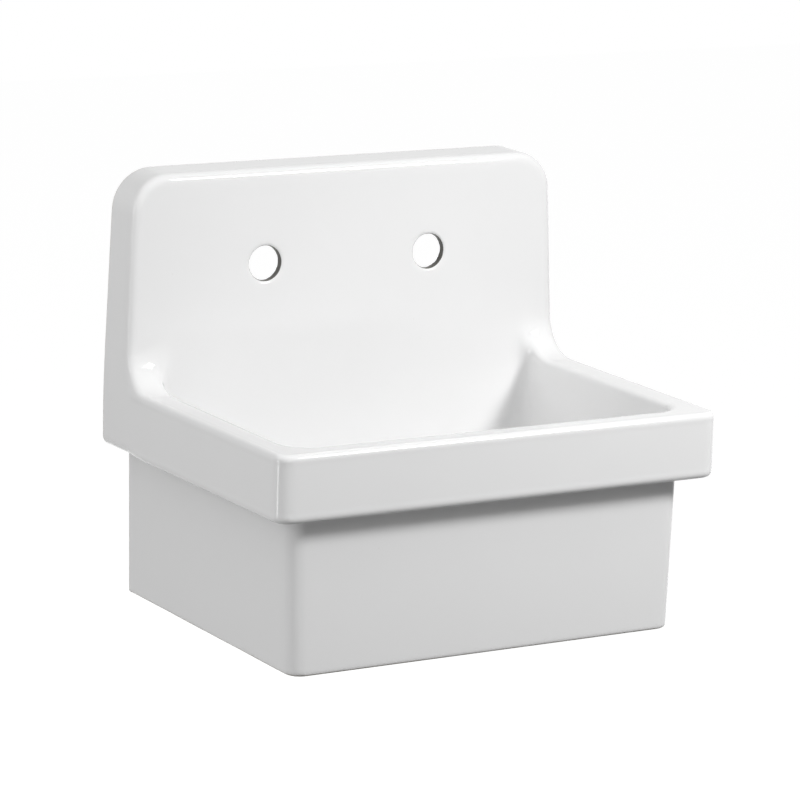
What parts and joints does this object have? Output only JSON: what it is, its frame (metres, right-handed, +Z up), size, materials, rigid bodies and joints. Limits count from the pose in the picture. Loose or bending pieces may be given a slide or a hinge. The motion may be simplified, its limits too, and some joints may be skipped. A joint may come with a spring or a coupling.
{
  "type": "wall-mounted utility sink",
  "caption": "White glazed china sink that hangs on a wall: splashback with faucet holes, rolled rim, deep rectangular basin, set-back apron and lift-out drain strainer.",
  "frame": {"origin": "on the wall plane, in the middle of the wall hanger's four screws, level with the rim", "axes": "+X to the right for someone facing the sink, +Y into the wall, +Z up"},
  "size_m": [0.537, 0.443, 0.502],
  "materials": {
    "china": "gloss glaze",
    "zinc_plated_steel": "zinc plated",
    "polished_steel": "polished",
    "rubber": "matt",
    "fibre": "matt",
    "cast_brass": "as cast",
    "plated_brass": "bright plated",
    "plastic": "matt"
  },
  "bodies": {
    "sink": {"sink_body": "china", "wall_hanger": "zinc_plated_steel", "hanger_screws": "zinc_plated_steel", "hanger_washers": "zinc_plated_steel", "anchor_screws": "zinc_plated_steel", "anchor_washers": "zinc_plated_steel", "anchor_cushions": "rubber", "strainer_body": "polished_steel", "flange_gasket": "rubber", "under_gasket": "rubber", "friction_ring": "fibre", "locknut": "cast_brass", "coupling_nut": "plated_brass", "tailpiece_washer": "plastic", "tailpiece": "plated_brass"},
    "basket": {"basket": "polished_steel", "post_guide": "plastic"},
    "stopper": {"stopper_knob": "plastic", "stopper_post": "polished_steel", "stopper_washer": "polished_steel", "stopper_disc": "rubber", "stopper_clip": "polished_steel"}
  },
  "joints": [
    {"name": "basket_lift", "type": "slide", "parent": "sink", "child": "basket", "axis": [0, 0, 1], "range_m": [0, 0.08]},
    {"name": "stopper_lift", "type": "slide", "parent": "basket", "child": "stopper", "axis": [0, 0, 1], "range_m": [0, 0.005]}
  ]
}
